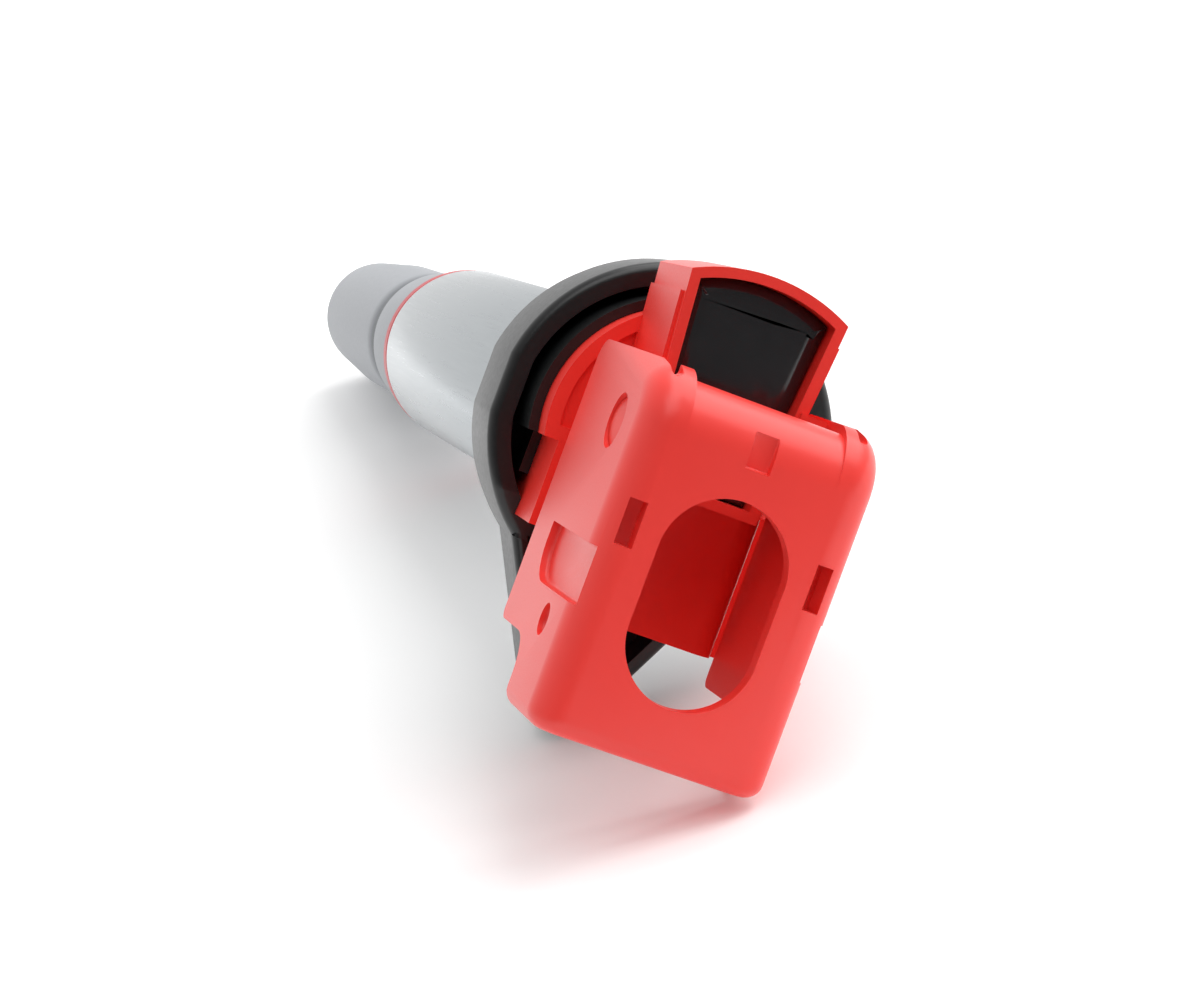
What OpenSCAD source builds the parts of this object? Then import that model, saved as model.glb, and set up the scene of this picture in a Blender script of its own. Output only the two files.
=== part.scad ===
// Plug-top ignition coil with a flip-lock connector, in millimetres.
// The coil axis is Z. The head is at the top, the spark-plug boot at the bottom, and the
// connector faces -Y. Z = 0 is the face of the gasket that rests on the cylinder-head cover.

/* [Sleeve and boot] */
// Outer diameter of the steel sleeve
sleeve_d = 22; // [21.8:0.1:22.2]
// Sleeve length below the seat plane
sleeve_drop = 96; // [94:1:104]
// Overall length from the seat plane down to the mouth of the boot
reach = 178.5; // [176:0.5:188]
// Largest diameter of the silicone boot
boot_d = 19.2; // [18.6:0.2:19.6]
// Bore of the boot that grips the plug's insulator
plug_bore_d = 10.2; // [9.8:0.1:10.6]
// How far the contact cap can be pushed up
contact_travel = 6; // [4:0.5:7]

/* [Gasket] */
// Diameter of the round part of the gasket
gasket_d = 34.2; // [34:0.2:35]
// Height of the gasket's rim above the seat plane
rim_h = 12; // [11:0.5:13]
// Diameter of the plug that fills the hole in the cover
cover_plug_d = 26.8; // [26:0.2:28]
// How far the gasket's tongue reaches forward of the axis
tongue_reach = 30; // [29:0.5:31]

/* [Head housing] */
// Diameter of the round body of the head
head_d = 26; // [25.8:0.1:26.2]
// Height of the round shoulder above the seat plane
shoulder_z = 18.5; // [18:0.5:19]
// Height of the rim of the potting cup
cup_z = 30.7; // [30:0.1:31]
// Radius of the outer arc of the potting cup
cup_r = 17.6; // [17.2:0.1:17.8]
// Width of the plastic around the connector socket, at its top
shroud_w = 18; // [17.6:0.1:18.2]
// Distance from the axis forward to the socket's mouth
shroud_reach = 17.6; // [17:0.1:18]

/* [Lock lever] */
// Outer width of the lever
lever_w = 22.4; // [22.2:0.1:22.8]
// Height of the lever's outer face
lever_z = 46.3; // [46:0.1:47]
// Distance from the axis forward to the lever's free end
lever_reach = 26.6; // [26:0.1:28]
// Height of the pivot above the seat plane
pivot_z = 37.3; // [37:0.1:37.6]
// Diameter of the pivot studs
stud_d = 5; // [4.6:0.1:5.2]
// Diameter of the window in the lever
window_d = 12; // [11:0.2:12.4]

/* [Windings] */
// Length of the laminated core
core_len = 58; // [50:1:60]
// Number of chambers on the secondary bobbin
chambers = 9; // [6:1:10]
// Turns in the contact spring
spring_turns = 12; // [8:1:14]

/* [Hidden] */
$fn = 96;

eps = 0.01;
fit_gap = 0.05;

// Head
head_r = head_d / 2;
head_floor_z = 1.6;
head_wall = 1.6;
platform_w = 22.2;
platform_front = 11.5;
round_end = 3.3;
cup_half = 7.85;
cup_half_y = 16;
cup_taper = 0.088;
cup_back = 4.2;
cup_wall = 1;
neck_r = sleeve_d / 2 - 0.85;
neck_bore_r = 8.6;
neck_drop = 10;
cavity_r = head_r - head_wall;
front_wall = 2.6;
cup_floor_t = 1.2;
cup_floor_lip = 0.6;
potting_low = 1.7;
potting_t = 3.9;

// Connector socket
socket_z = 17.45;
shroud_bottom = 11;
shroud_side_z = 14;
shroud_top = 24;
shroud_corner = 2.5;
shroud_chamfer = 2;
ledge_w = shroud_w + 2;
ledge_low = 17.4;
ledge_z = 20.5;
socket_w = 15;
socket_low = 12.6;
socket_high = 22.3;
socket_depth = 7;
blade_w = 1.5;
blade_t = 0.64;
blade_pitch = 2.9;
blade_inset = 1.4;
blade_bend_y = -1.2;
blade_foot_y = 1;
board_z = 21;
board_half = 5.2;
board_front = -0.8;
board_back = 9.5;
board_t = 1;
spreader_half = 5;
spreader_front = 1;
spreader_back = 9;
spreader_t = 1.2;
transistor_at = [-4.8, 3.4];
transistor_size = [5, 5, 1.8];
chip_at = [1.2, 5];
chip_size = [3.8, 3.6, 1.1];
capacitor_at = [1.6, 2.2];
capacitor_size = [3.2, 1.6, 1.4];
pin_w = 0.6;
pin_y = 5;
pin_x = board_half + 0.04;
pin_proud = 1.2;

// Lever
pivot_y = 0.6;
lever_t = 1.8;
fold_r = 3;
fold_in_r = 1.6;
roll_r = 4.8;
ear_roll_r = 5.5;
lever_top_y = 6.3;
ear_y = 7.2;
ear_in = 7.2;
lug_groove_x = 8.95;
lug_groove_w = 0.9;
lug_groove_y = 6;
corner_r = 1.8;
cheek_z = 21.9;
cheek_corner = 2.2;
skirt_z = 33.7;
step_y = -20.3;
end_wall_z = 40;
roll_low_z = 41.5;
lever_in = lever_w / 2 - lever_t;
tower_r = 3.5;
tower_out = lever_in - 0.4;
tower_t = 1.8;
pivot_gap = 0.08;
stud_proud = 0.25;
stud_ramp = 12;
stud_cut = 0.1;
stop_y = 6.9;
stop_z = 31.3;
stop_in = 0.8;
window_top = 8.1;
window_bottom = 15.2;
slot_x = 8.9;
slot_y = -7.1;
slot_w = 1.6;
slot_l = 4.2;
notch_y = 2.4;
notch_w = 2.3;
notch_l = 3.4;
notch_t = 0.8;
pocket_t = 0.9;
dimple_y = -18;
dimple_z = 37.8;
dimple_d = 3;

// Gasket
gasket_r = gasket_d / 2;
gasket_flat = gasket_r - 0.25;
rim_w = 2.2;
rim_low = 4;
gasket_floor = 1.6;
foot_inset = 0.5;
sleeve_top = 15.5;
sleeve_wall = 1;
skirt_top = 11;
skirt_front = 7.5;
tongue_slope = 0.519;
tongue_apex = 33.7;
tongue_tip_r = 3;
tongue_root = -10;
tongue_z = 11;
tongue_floor = 6;
tongue_rim = 1.4;
tongue_start = 13.6;
tongue_ramp = 4;
cover_plug_drop = 8;
cover_plug_lead = 0.8;

// Stick
sleeve_r = sleeve_d / 2;
sleeve_t = 0.8;
sleeve_neck_r = sleeve_r - 0.3;
sleeve_neck_z = -8.2;
shell_r = sleeve_r - sleeve_t - 0.1;
shell_t = 0.65;
shell_gap = 0.8;
shell_top = -neck_drop - 1.5;
primary_r = 9.3;
primary_in = 8.3;
bobbin_in = 7.7;
secondary_r = 7;
secondary_in = 5.3;
core_r = 4;
wrap_t = 0.3;
coil_top = -13;
flange_t = 1;
flange_gap = 0.1;
bobbin_rise = 2;
secondary_top = coil_top - 3;
secondary_bore_r = core_r + 0.4;
magnet_t = 4;
cushion_t = 2;
core_top = secondary_top - cushion_t - magnet_t;
chamber_end = 0.5;
chamber_pitch = (core_len - 2 * chamber_end - flange_t) / chambers;
core_bottom = core_top - core_len;
coil_bottom = core_bottom - magnet_t - cushion_t;
primary_bottom = -sleeve_drop + 9;

// High-voltage end
tower_flange_z = -sleeve_drop + 6;
collar_r = 10.9;
collar_t = 2.5;
tower_bore_r = 3.3;
hv_tower_r = 5.5;
boot_top = -sleeve_drop - collar_t;
boot_r = boot_d / 2;
boot_bore_r = plug_bore_d / 2;
spring_top = -122;
spring_bottom = -154;
cap_skirt = 1.4;
cap_r = 3.6;
cap_bore_r = 3;
cap_seat = 0.02;
hv_tower_end = spring_bottom + cap_skirt + contact_travel + 0.6;
hv_cup_rise = 0.6;
hv_cup_drop = 8;
hv_cup_t = 1.2;
hv_cup_wall = 0.6;
diode_r = 2;
resistor_r = 2.5;
resistor_cap_r = 2.85;
resistor_cap_l = 4;
resistor_cap_t = 2;
resistor_top = tower_flange_z - hv_cup_drop - hv_cup_rise;
resistor_bottom = spring_top + eps;
spring_r = 2.5;
wire_d = 0.8;
cap_bottom = -157.5;
plug_grip = 18;
boot_cavity_r = 4.3;

function arc(cx, cy, r, a0, a1, n) =
    [for (i = [0:n]) [cx + r * cos(a0 + (a1 - a0) * i / n), cy + r * sin(a0 + (a1 - a0) * i / n)]];
function cup_w(y) = cup_half + (y - cup_half_y) * cup_taper;

module ring(r_out, r_in, z0, z1) {
    translate([0, 0, z0])
        difference() {
            cylinder(r = r_out, h = z1 - z0);
            translate([0, 0, -1])
                cylinder(r = r_in, h = z1 - z0 + 2);
        }
}

// A box from its low corner to its high corner
module box(low, high) {
    translate(low)
        cube(high - low);
}

// Extrude an outline drawn in (x, z) along Y
module along_y(y0, y1) {
    translate([0, y1, 0])
        rotate([90, 0, 0])
            linear_extrude(y1 - y0)
                children();
}

// Extrude an outline drawn in (y, z) along X
module along_x(x0, x1) {
    translate([x0, 0, 0])
        rotate([90, 0, 90])
            linear_extrude(x1 - x0)
                children();
}

module both_sides() {
    children();
    mirror([1, 0, 0])
        children();
}

// ---------------------------------------------------------------- head housing

// Plan of the potting cup: straight tapering sides and an outer arc round the coil axis
module cup_plan(inset) {
    intersection() {
        circle(r = cup_r - inset);
        polygon([
            [-cup_w(cup_r) + inset, cup_r], [-cup_w(-cup_back) + inset, -cup_back + inset],
            [cup_w(-cup_back) - inset, -cup_back + inset], [cup_w(cup_r) - inset, cup_r]
        ]);
    }
}

// Plan of the head's base: round behind, square round the connector
module base_plan(inset) {
    intersection() {
        circle(r = head_r - inset);
        translate([-head_r, -round_end])
            square([head_d, head_d]);
    }
    translate([-platform_w / 2 + inset, -platform_front + inset])
        square([platform_w - 2 * inset, platform_front - inset]);
}

module shroud_outline() {
    half = shroud_w / 2;
    corner_x = half - shroud_corner;
    corner_z = shroud_top - shroud_corner;
    right = concat(
        [[half - shroud_chamfer, shroud_bottom], [half, shroud_side_z], [half, ledge_low]],
        [[ledge_w / 2, ledge_low], [ledge_w / 2, ledge_z], [half, ledge_z]],
        arc(corner_x, corner_z, shroud_corner, 0, 90, 8)
    );
    left = [for (i = [len(right) - 1:-1:0]) [-right[i][0], right[i][1]]];
    polygon(concat(right, left));
}

// Post that carries one pivot stud
module pivot_tower() {
    translate([tower_out - tower_t, 0, 0]) {
        box([0, pivot_y - tower_r, shoulder_z - 1], [tower_t, pivot_y + tower_r, pivot_z]);
        translate([0, pivot_y, pivot_z])
            rotate([0, 90, 0])
                cylinder(r = tower_r, h = tower_t);
        // Buttress against the cup, which is also the stop for the opened lever
        box([-stop_in, pivot_y, shoulder_z - 1], [tower_t, stop_y, stop_z]);
    }
    // The stud's end is cut to a ramp, so that the lever snaps over it
    difference() {
        translate([tower_out - eps, pivot_y, pivot_z])
            rotate([0, 90, 0])
                cylinder(d = stud_d, h = lever_t + stud_proud);
        translate([tower_out + lever_t + stud_proud, pivot_y - stud_d, pivot_z - stud_d / 2])
            rotate([0, -stud_ramp, 0])
                box([-stud_cut, 0, -stud_d], [stud_d, 2 * stud_d, 2 * stud_d]);
    }
}

module head_housing() {
    color("#e8382f") {
        difference() {
            union() {
                translate([0, 0, head_floor_z])
                    linear_extrude(shoulder_z - head_floor_z)
                        base_plan(0);
                translate([0, 0, shoulder_z - 0.5])
                    linear_extrude(cup_z - shoulder_z + 0.5)
                        cup_plan(0);
                along_y(-shroud_reach, -cup_back + cup_wall / 2)
                    shroud_outline();
                ring(neck_r, neck_bore_r, -neck_drop, head_floor_z + eps);
            }
            // Cavity of the round body, under the shoulder
            translate([0, 0, head_floor_z + head_wall])
                linear_extrude(shoulder_z - head_floor_z - 2 * head_wall)
                    intersection() {
                        circle(r = cavity_r);
                        translate([-head_r, -platform_front + front_wall])
                            square([head_d, head_d]);
                    }
            // Cavity of the cup, open at the top and into the body
            difference() {
                translate([0, 0, shoulder_z - head_wall - eps])
                    linear_extrude(cup_z)
                        cup_plan(cup_wall);
                // Floor under the part of the cup that overhangs the body
                difference() {
                    box([-head_r, 0, 0], [head_r, head_d, shoulder_z + cup_floor_t]);
                    translate([0, 0, -1])
                        cylinder(r = cavity_r - cup_floor_lip, h = cup_z);
                }
            }
            translate([0, 0, -neck_drop - 1])
                cylinder(r = neck_bore_r, h = neck_drop + head_floor_z + head_wall + 2);
            // Connector socket
            box([-socket_w / 2, -shroud_reach - 1, socket_low],
                [socket_w / 2, -shroud_reach + socket_depth, socket_high]);
            // Slots that the four terminals pass through
            for (i = [0:3])
                translate([(i - 1.5) * blade_pitch, 0, socket_z])
                    box([-blade_w / 2 - fit_gap, -platform_front - 1, -blade_t / 2 - fit_gap],
                        [blade_w / 2 + fit_gap, 0, blade_t / 2 + fit_gap]);
        }
        both_sides()
            pivot_tower();
    }
}

module potting_cap() {
    color("#101214")
        translate([0, 0, cup_z - potting_low - potting_t])
            linear_extrude(potting_t)
                cup_plan(cup_wall + fit_gap);
}

// ---------------------------------------------------------------- lock lever

// Cross-section of the lever: a plate with a cheek folded down on each side
module lever_section(inset, r) {
    half = lever_w / 2 - inset;
    top = lever_z - inset;
    polygon(concat(
        [[half, cheek_z - 1]],
        arc(half - r, top - r, r, 0, 90, 10),
        arc(-half + r, top - r, r, 90, 180, 10),
        [[-half, cheek_z - 1]]
    ));
}

// Side outline of the lever: a deep cheek behind, a shallow skirt at the free end
module lever_side() {
    hollow_r = 3.6;
    hollow_z = 29.6;
    end_r = 1.6;
    edge_r = 1;
    polygon(concat(
        arc(ear_y - ear_roll_r, lever_z - ear_roll_r, ear_roll_r, 90, 0, 10),
        arc(ear_y - cheek_corner, cheek_z + cheek_corner, cheek_corner, 0, -90, 6),
        arc(step_y + edge_r, cheek_z + edge_r, edge_r, -90, -180, 4),
        arc(step_y - hollow_r, hollow_z, hollow_r, 0, 65, 6),
        [[-lever_reach + end_r, skirt_z]],
        arc(-lever_reach + edge_r, skirt_z + edge_r, edge_r, -90, -180, 4),
        arc(-lever_reach + end_r, lever_z - end_r, end_r, 180, 90, 6)
    ));
}

// Plan of the lever, with rounded corners at the free end
module lever_plan() {
    half = lever_w / 2;
    polygon(concat(
        [[-half, ear_y + 1], [half, ear_y + 1]],
        arc(half - corner_r, -lever_reach + corner_r, corner_r, 0, -90, 6),
        arc(-half + corner_r, -lever_reach + corner_r, corner_r, -90, -180, 6)
    ));
}

// Inside of the lever seen from the side, bounded by the end wall and the rolled top edge
module lever_inside() {
    in_r = roll_r - lever_t;
    polygon(concat(
        arc(lever_top_y - roll_r, lever_z - roll_r, in_r, 90, 0, 8),
        [[lever_top_y - lever_t, roll_low_z], [ear_y + 1, roll_low_z], [ear_y + 1, cheek_z - 2]],
        [[-lever_reach - 1, cheek_z - 2], [-lever_reach - 1, end_wall_z]],
        [[-lever_reach + lever_t, end_wall_z]],
        [[-lever_reach + lever_t, lever_z - lever_t]]
    ));
}

// Outline of the pocket, seen from the side
module cheek_pocket() {
    polygon([[-10.2, 28.4], [-9.8, 44.6], [-14.8, 45], [-15.5, 34], [-13.6, 30.4]]);
}

module lock_lever() {
    color("#ee4238")
        difference() {
            intersection() {
                along_y(-lever_reach - 1, ear_y + 1)
                    lever_section(0, fold_r);
                along_x(-lever_w / 2 - 1, lever_w / 2 + 1)
                    lever_side();
                translate([0, 0, cheek_z - 1])
                    linear_extrude(lever_z)
                        lever_plan();
            }
            intersection() {
                along_y(-lever_reach - 1, ear_y + 1)
                    lever_section(lever_t, fold_in_r);
                along_x(-lever_w / 2, lever_w / 2)
                    lever_inside();
            }
            // The rolled edge between the two ears stands a little lower than they do
            difference() {
                box([-ear_in, lever_top_y - roll_r, cheek_z], [ear_in, ear_y + 1, lever_z + 1]);
                translate([0, lever_top_y - roll_r, lever_z - roll_r])
                    rotate([0, 90, 0])
                        cylinder(r = roll_r, h = lever_w, center = true);
                box([-ear_in - 1, 0, cheek_z - 1], [ear_in + 1, lever_top_y, lever_z - roll_r]);
            }
            // Window
            translate([0, 0, lever_z - 2 * lever_t]) {
                translate([0, -window_top, 0])
                    cylinder(d = window_d, h = 4 * lever_t);
                translate([0, -window_bottom, 0])
                    cylinder(d = window_d, h = 4 * lever_t);
                box([-window_d / 2, -window_bottom, 0], [window_d / 2, -window_top, 4 * lever_t]);
            }
            // Thumb notch
            box([-notch_w / 2, notch_y - notch_l / 2, lever_z - notch_t],
                [notch_w / 2, notch_y + notch_l / 2, lever_z + 1]);
            both_sides() {
                // Slot that cores out the latch hook
                box([slot_x - slot_w / 2, slot_y - slot_l / 2, lever_z - 2 * lever_t],
                    [slot_x + slot_w / 2, slot_y + slot_l / 2, lever_z + 1]);
                // Groove down the back of the ear
                box([lug_groove_x - lug_groove_w / 2, lug_groove_y, pivot_z],
                    [lug_groove_x + lug_groove_w / 2, ear_y + 1, lever_z]);
                // Pivot hole
                translate([lever_in - 1, pivot_y, pivot_z])
                    rotate([0, 90, 0])
                        cylinder(r = stud_d / 2 + pivot_gap, h = lever_t + 2);
                // Pocket in the cheek, open towards the fold
                along_x(lever_w / 2 - pocket_t, lever_w / 2 + 1)
                    cheek_pocket();
                // Small dimple in the cheek
                translate([lever_w / 2 - pocket_t, dimple_y, dimple_z])
                    rotate([0, 90, 0])
                        cylinder(d = dimple_d, h = 2);
            }
        }
}

// ---------------------------------------------------------------- gasket

function tongue_half(y, inset) =
    tongue_slope * (y + tongue_apex) - inset * sqrt(1 + tongue_slope * tongue_slope);

module gasket_plan(inset) {
    tip_r = tongue_tip_r - inset;
    tip_y = -tongue_reach + tongue_tip_r;
    tip_a = 180 + atan(tongue_slope);
    intersection() {
        circle(r = gasket_r - inset);
        square([2 * (gasket_flat - inset), gasket_d], center = true);
    }
    polygon(concat(
        [[tongue_half(tongue_root, inset), tongue_root], [-tongue_half(tongue_root, inset), tongue_root]],
        arc(0, tip_y, tip_r, tip_a, 540 - tip_a, 12)
    ));
}

// Side view of the outer wall, whose top slopes down a little to the tongue
module wall_side() {
    polygon([
        [gasket_r + 1, rim_low], [gasket_r + 1, rim_h],
        [-tongue_start + tongue_ramp, rim_h], [-tongue_start, tongue_z],
        [-tongue_reach - 1, tongue_z], [-tongue_reach - 1, rim_low]
    ]);
}

module head_gasket() {
    round_low = [-gasket_r, -tongue_start, -1];
    round_high = [gasket_r, gasket_r, rim_h + 1];
    tongue_low = [-gasket_r, -tongue_reach, tongue_floor];
    tongue_high = [gasket_r, -tongue_start + eps, rim_h + 1];
    color("#17181a")
        difference() {
            union() {
                // Outer wall, round the body and along the tongue
                intersection() {
                    linear_extrude(rim_h)
                        gasket_plan(0);
                    along_x(-gasket_r, gasket_r)
                        wall_side();
                }
                // Foot under the round part
                intersection() {
                    linear_extrude(rim_low + eps)
                        gasket_plan(foot_inset);
                    box(round_low, round_high);
                }
                // Collar that hugs the round body, and lower skirts beside the square part
                collar(head_r - 2, gasket_floor - eps);
                skirts(gasket_floor - eps);
                ring(cover_plug_d / 2, sleeve_neck_r, -cover_plug_drop + 1, eps);
                translate([0, 0, -cover_plug_drop])
                    cylinder(r1 = cover_plug_d / 2 - cover_plug_lead, r2 = cover_plug_d / 2, h = 1 + eps);
            }
            translate([0, 0, -cover_plug_drop - 1])
                cylinder(r = sleeve_neck_r + fit_gap, h = cover_plug_drop + rim_h);
            translate([0, 0, head_floor_z - fit_gap])
                linear_extrude(sleeve_top + 1)
                    base_plan(-fit_gap);
            // Trough inside the wall, round the collar and the skirts
            difference() {
                intersection() {
                    translate([0, 0, gasket_floor])
                        linear_extrude(rim_h)
                            gasket_plan(rim_w);
                    box(round_low, round_high);
                }
                collar(1, 0);
                skirts(0);
            }
            // Shallower trough in the tongue
            intersection() {
                linear_extrude(rim_h + 1)
                    gasket_plan(tongue_rim);
                box(tongue_low, tongue_high);
            }
        }
}

module collar(r_in, low) {
    difference() {
        ring(head_r + sleeve_wall, r_in, low, sleeve_top);
        box([-gasket_r, -gasket_r, -1], [gasket_r, -round_end, sleeve_top + 1]);
    }
}

module skirts(low) {
    half = platform_w / 2 + sleeve_wall;
    box([-half, -skirt_front, low], [half, -round_end, skirt_top]);
}

// ---------------------------------------------------------------- terminals and igniter

// One blade: straight in the socket, then up and over the edge of the igniter board
module terminal(i) {
    color("#c9b06a")
        translate([(i - 1.5) * blade_pitch, 0, 0]) {
            box([-blade_w / 2, -shroud_reach + blade_inset, socket_z - blade_t / 2],
                [blade_w / 2, blade_bend_y, socket_z + blade_t / 2]);
            box([-blade_w / 2, blade_bend_y - blade_t, socket_z - blade_t / 2],
                [blade_w / 2, blade_bend_y, board_z + blade_t]);
            box([-blade_w / 2, blade_bend_y - blade_t, board_z],
                [blade_w / 2, blade_foot_y, board_z + blade_t]);
        }
}

// A flat component that lies on the board
module on_board(at, size) {
    translate([at.x, at.y, board_z])
        cube(size);
}

module igniter_board() {
    color("#e8e6dc")
        box([-board_half, board_front, board_z - board_t], [board_half, board_back, board_z]);
}

module heat_spreader() {
    color("#b87340")
        box([-spreader_half, spreader_front, board_z - board_t - spreader_t],
            [spreader_half, spreader_back, board_z - board_t]);
}

module power_transistor() {
    color("#202224")
        on_board(transistor_at, transistor_size);
}

module driver_chip() {
    color("#2a2c2e")
        on_board(chip_at, chip_size);
}

module filter_capacitor() {
    color("#a98a5c")
        on_board(capacitor_at, capacitor_size);
}

// Two square brass pins from the winding up to the igniter board
module winding_pins() {
    color("#c8a850")
        both_sides()
            box([pin_x, pin_y, coil_top], [pin_x + pin_w, pin_y + pin_w, board_z + pin_proud]);
}

// ---------------------------------------------------------------- stick

// Drawn tube, a little smaller at the top, where the gasket is pressed on
module steel_sleeve() {
    bore_r = sleeve_r - sleeve_t;
    color("#c9cccf") {
        ring(sleeve_r, bore_r, -sleeve_drop, sleeve_neck_z);
        ring(sleeve_neck_r, bore_r, sleeve_neck_z - eps, head_floor_z - fit_gap);
    }
}

// Rolled electrical steel with one gap along it
module flux_shell() {
    color("#8b8f94")
        difference() {
            ring(shell_r, shell_r - shell_t, primary_bottom, shell_top);
            box([-shell_gap / 2, 0, -sleeve_drop], [shell_gap / 2, sleeve_d, 0]);
        }
}

module primary_bobbin() {
    color("#d8c9a0")
        difference() {
            union() {
                ring(primary_in, bobbin_in, primary_bottom, coil_top + bobbin_rise);
                ring(primary_r - fit_gap, bobbin_in, coil_top - flange_t, coil_top);
                ring(primary_r - fit_gap, bobbin_in, primary_bottom, primary_bottom + flange_t);
            }
            both_sides()
                box([pin_x - fit_gap, pin_y - fit_gap, coil_top - flange_t],
                    [pin_x + pin_w + fit_gap, pin_y + pin_w + fit_gap, 0]);
        }
}

module primary_winding() {
    color("#b5622c")
        ring(primary_r - flange_gap, primary_in + fit_gap,
            primary_bottom + flange_t + flange_gap, coil_top - flange_t - flange_gap);
}

module winding_encapsulant() {
    color("#3b2f22")
        ring(bobbin_in - fit_gap, secondary_r + fit_gap, coil_bottom, secondary_top);
}

module secondary_bobbin() {
    color("#e4dcc4") {
        ring(secondary_in, secondary_bore_r, coil_bottom, secondary_top);
        for (i = [0:chambers])
            translate([0, 0, core_bottom + chamber_end + i * chamber_pitch])
                ring(secondary_r, secondary_in - eps, 0, flange_t);
    }
}

// Fine wire, one pack in each chamber of the bobbin
module secondary_winding() {
    color("#9c4a22")
        for (i = [0:chambers - 1])
            translate([0, 0, core_bottom + chamber_end + i * chamber_pitch])
                ring(secondary_r - 2 * flange_gap, secondary_in + fit_gap,
                    flange_t + flange_gap, chamber_pitch - flange_gap);
}

module core_wrap() {
    color("#30343a")
        ring(core_r + fit_gap + wrap_t, core_r + fit_gap, coil_bottom, secondary_top);
}

// Steel strips of stepped width, stacked to fill a round hole
module core_stack() {
    strip = 0.8;
    color("#6f757c")
        for (i = [-4:4])
            let (half = sqrt(core_r * core_r - pow((abs(i) + 0.5) * strip, 2)))
                box([-half, (i - 0.5) * strip, core_bottom], [half, (i + 0.5) * strip + eps, core_top]);
}

module core_disc(z0, z1) {
    translate([0, 0, z0])
        cylinder(r = core_r, h = z1 - z0);
}

module upper_magnet() {
    color("#4a4d52")
        core_disc(core_top, core_top + magnet_t);
}

module lower_magnet() {
    color("#4a4d52")
        core_disc(core_bottom - magnet_t, core_bottom);
}

module upper_cushion() {
    color("#7d5a46")
        core_disc(core_top + magnet_t, core_top + magnet_t + cushion_t);
}

module lower_cushion() {
    color("#7d5a46")
        core_disc(core_bottom - magnet_t - cushion_t, core_bottom - magnet_t);
}

// ---------------------------------------------------------------- high-voltage end

// Insulating plug in the sleeve's end, with a long tube that carries the resistor and spring
module high_voltage_tower() {
    color("#33363a")
        difference() {
            union() {
                translate([0, 0, -sleeve_drop])
                    cylinder(r = sleeve_r - sleeve_t - fit_gap, h = tower_flange_z + sleeve_drop);
                translate([0, 0, hv_tower_end])
                    cylinder(r = hv_tower_r, h = -sleeve_drop - hv_tower_end + eps);
            }
            translate([0, 0, hv_tower_end - 1])
                cylinder(r = tower_bore_r, h = tower_flange_z - hv_tower_end + 2);
        }
}

module sleeve_collar() {
    color("#d5353a")
        ring(collar_r, hv_tower_r + fit_gap, boot_top, -sleeve_drop);
}

module suppression_diode() {
    color("#1e2023")
        translate([0, 0, tower_flange_z + hv_cup_rise])
            cylinder(r = diode_r, h = coil_bottom - tower_flange_z - 2 * hv_cup_rise);
}

// Brass cup pressed into the top of the tower's bore
module high_voltage_terminal() {
    color("#c8a850")
        difference() {
            translate([0, 0, tower_flange_z - hv_cup_drop])
                cylinder(r = tower_bore_r - cap_seat, h = hv_cup_drop + hv_cup_rise);
            translate([0, 0, tower_flange_z - hv_cup_drop + hv_cup_t])
                cylinder(r = tower_bore_r - hv_cup_wall, h = hv_cup_drop + hv_cup_rise);
        }
}

module suppression_resistor() {
    color("#cfc7b8")
        translate([0, 0, resistor_bottom + resistor_cap_t])
            cylinder(r = resistor_r, h = resistor_top - resistor_bottom - 2 * resistor_cap_t);
}

module resistor_caps() {
    color("#b9bcc0")
        for (z = [resistor_bottom, resistor_top - resistor_cap_l])
            difference() {
                translate([0, 0, z])
                    cylinder(r = resistor_cap_r, h = resistor_cap_l);
                translate([0, 0, resistor_bottom + resistor_cap_t - fit_gap])
                    cylinder(r = resistor_r + fit_gap,
                        h = resistor_top - resistor_bottom - 2 * (resistor_cap_t - fit_gap));
            }
}

// Round wire swept along a helix, with its ends cut square
module contact_spring() {
    sides = 6;
    steps = 16;
    total = spring_turns * steps;
    pitch = (spring_top - spring_bottom - wire_d) / spring_turns;
    function along(i, j) =
        let (a = i * 360 / steps, b = j * 360 / sides, r = spring_r + wire_d / 2 * cos(b))
        [r * cos(a), r * sin(a), spring_bottom + wire_d / 2 + pitch * i / steps + wire_d / 2 * sin(b)];
    points = [for (i = [0:total]) for (j = [0:sides - 1]) along(i, j)];
    function quad(a, b, j, k) = [a + j, b + j, b + k, a + k];
    walls = [for (i = [0:total - 1]) for (j = [0:sides - 1])
        quad(i * sides, (i + 1) * sides, j, (j + 1) % sides)];
    first = [for (j = [0:sides - 1]) j];
    last = [for (j = [sides - 1:-1:0]) total * sides + j];
    color("#d4d6d8")
        polyhedron(points = points, faces = concat(walls, [first], [last]), convexity = 8);
}

// Drawn cap on the end of the spring that meets the plug's terminal
module contact_cap() {
    color("#d0c08a")
        difference() {
            translate([0, 0, cap_bottom])
                cylinder(r = cap_r, h = spring_bottom - cap_bottom + cap_skirt);
            translate([0, 0, spring_bottom - cap_seat])
                cylinder(r = cap_bore_r, h = 2 * cap_skirt);
        }
}

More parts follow.
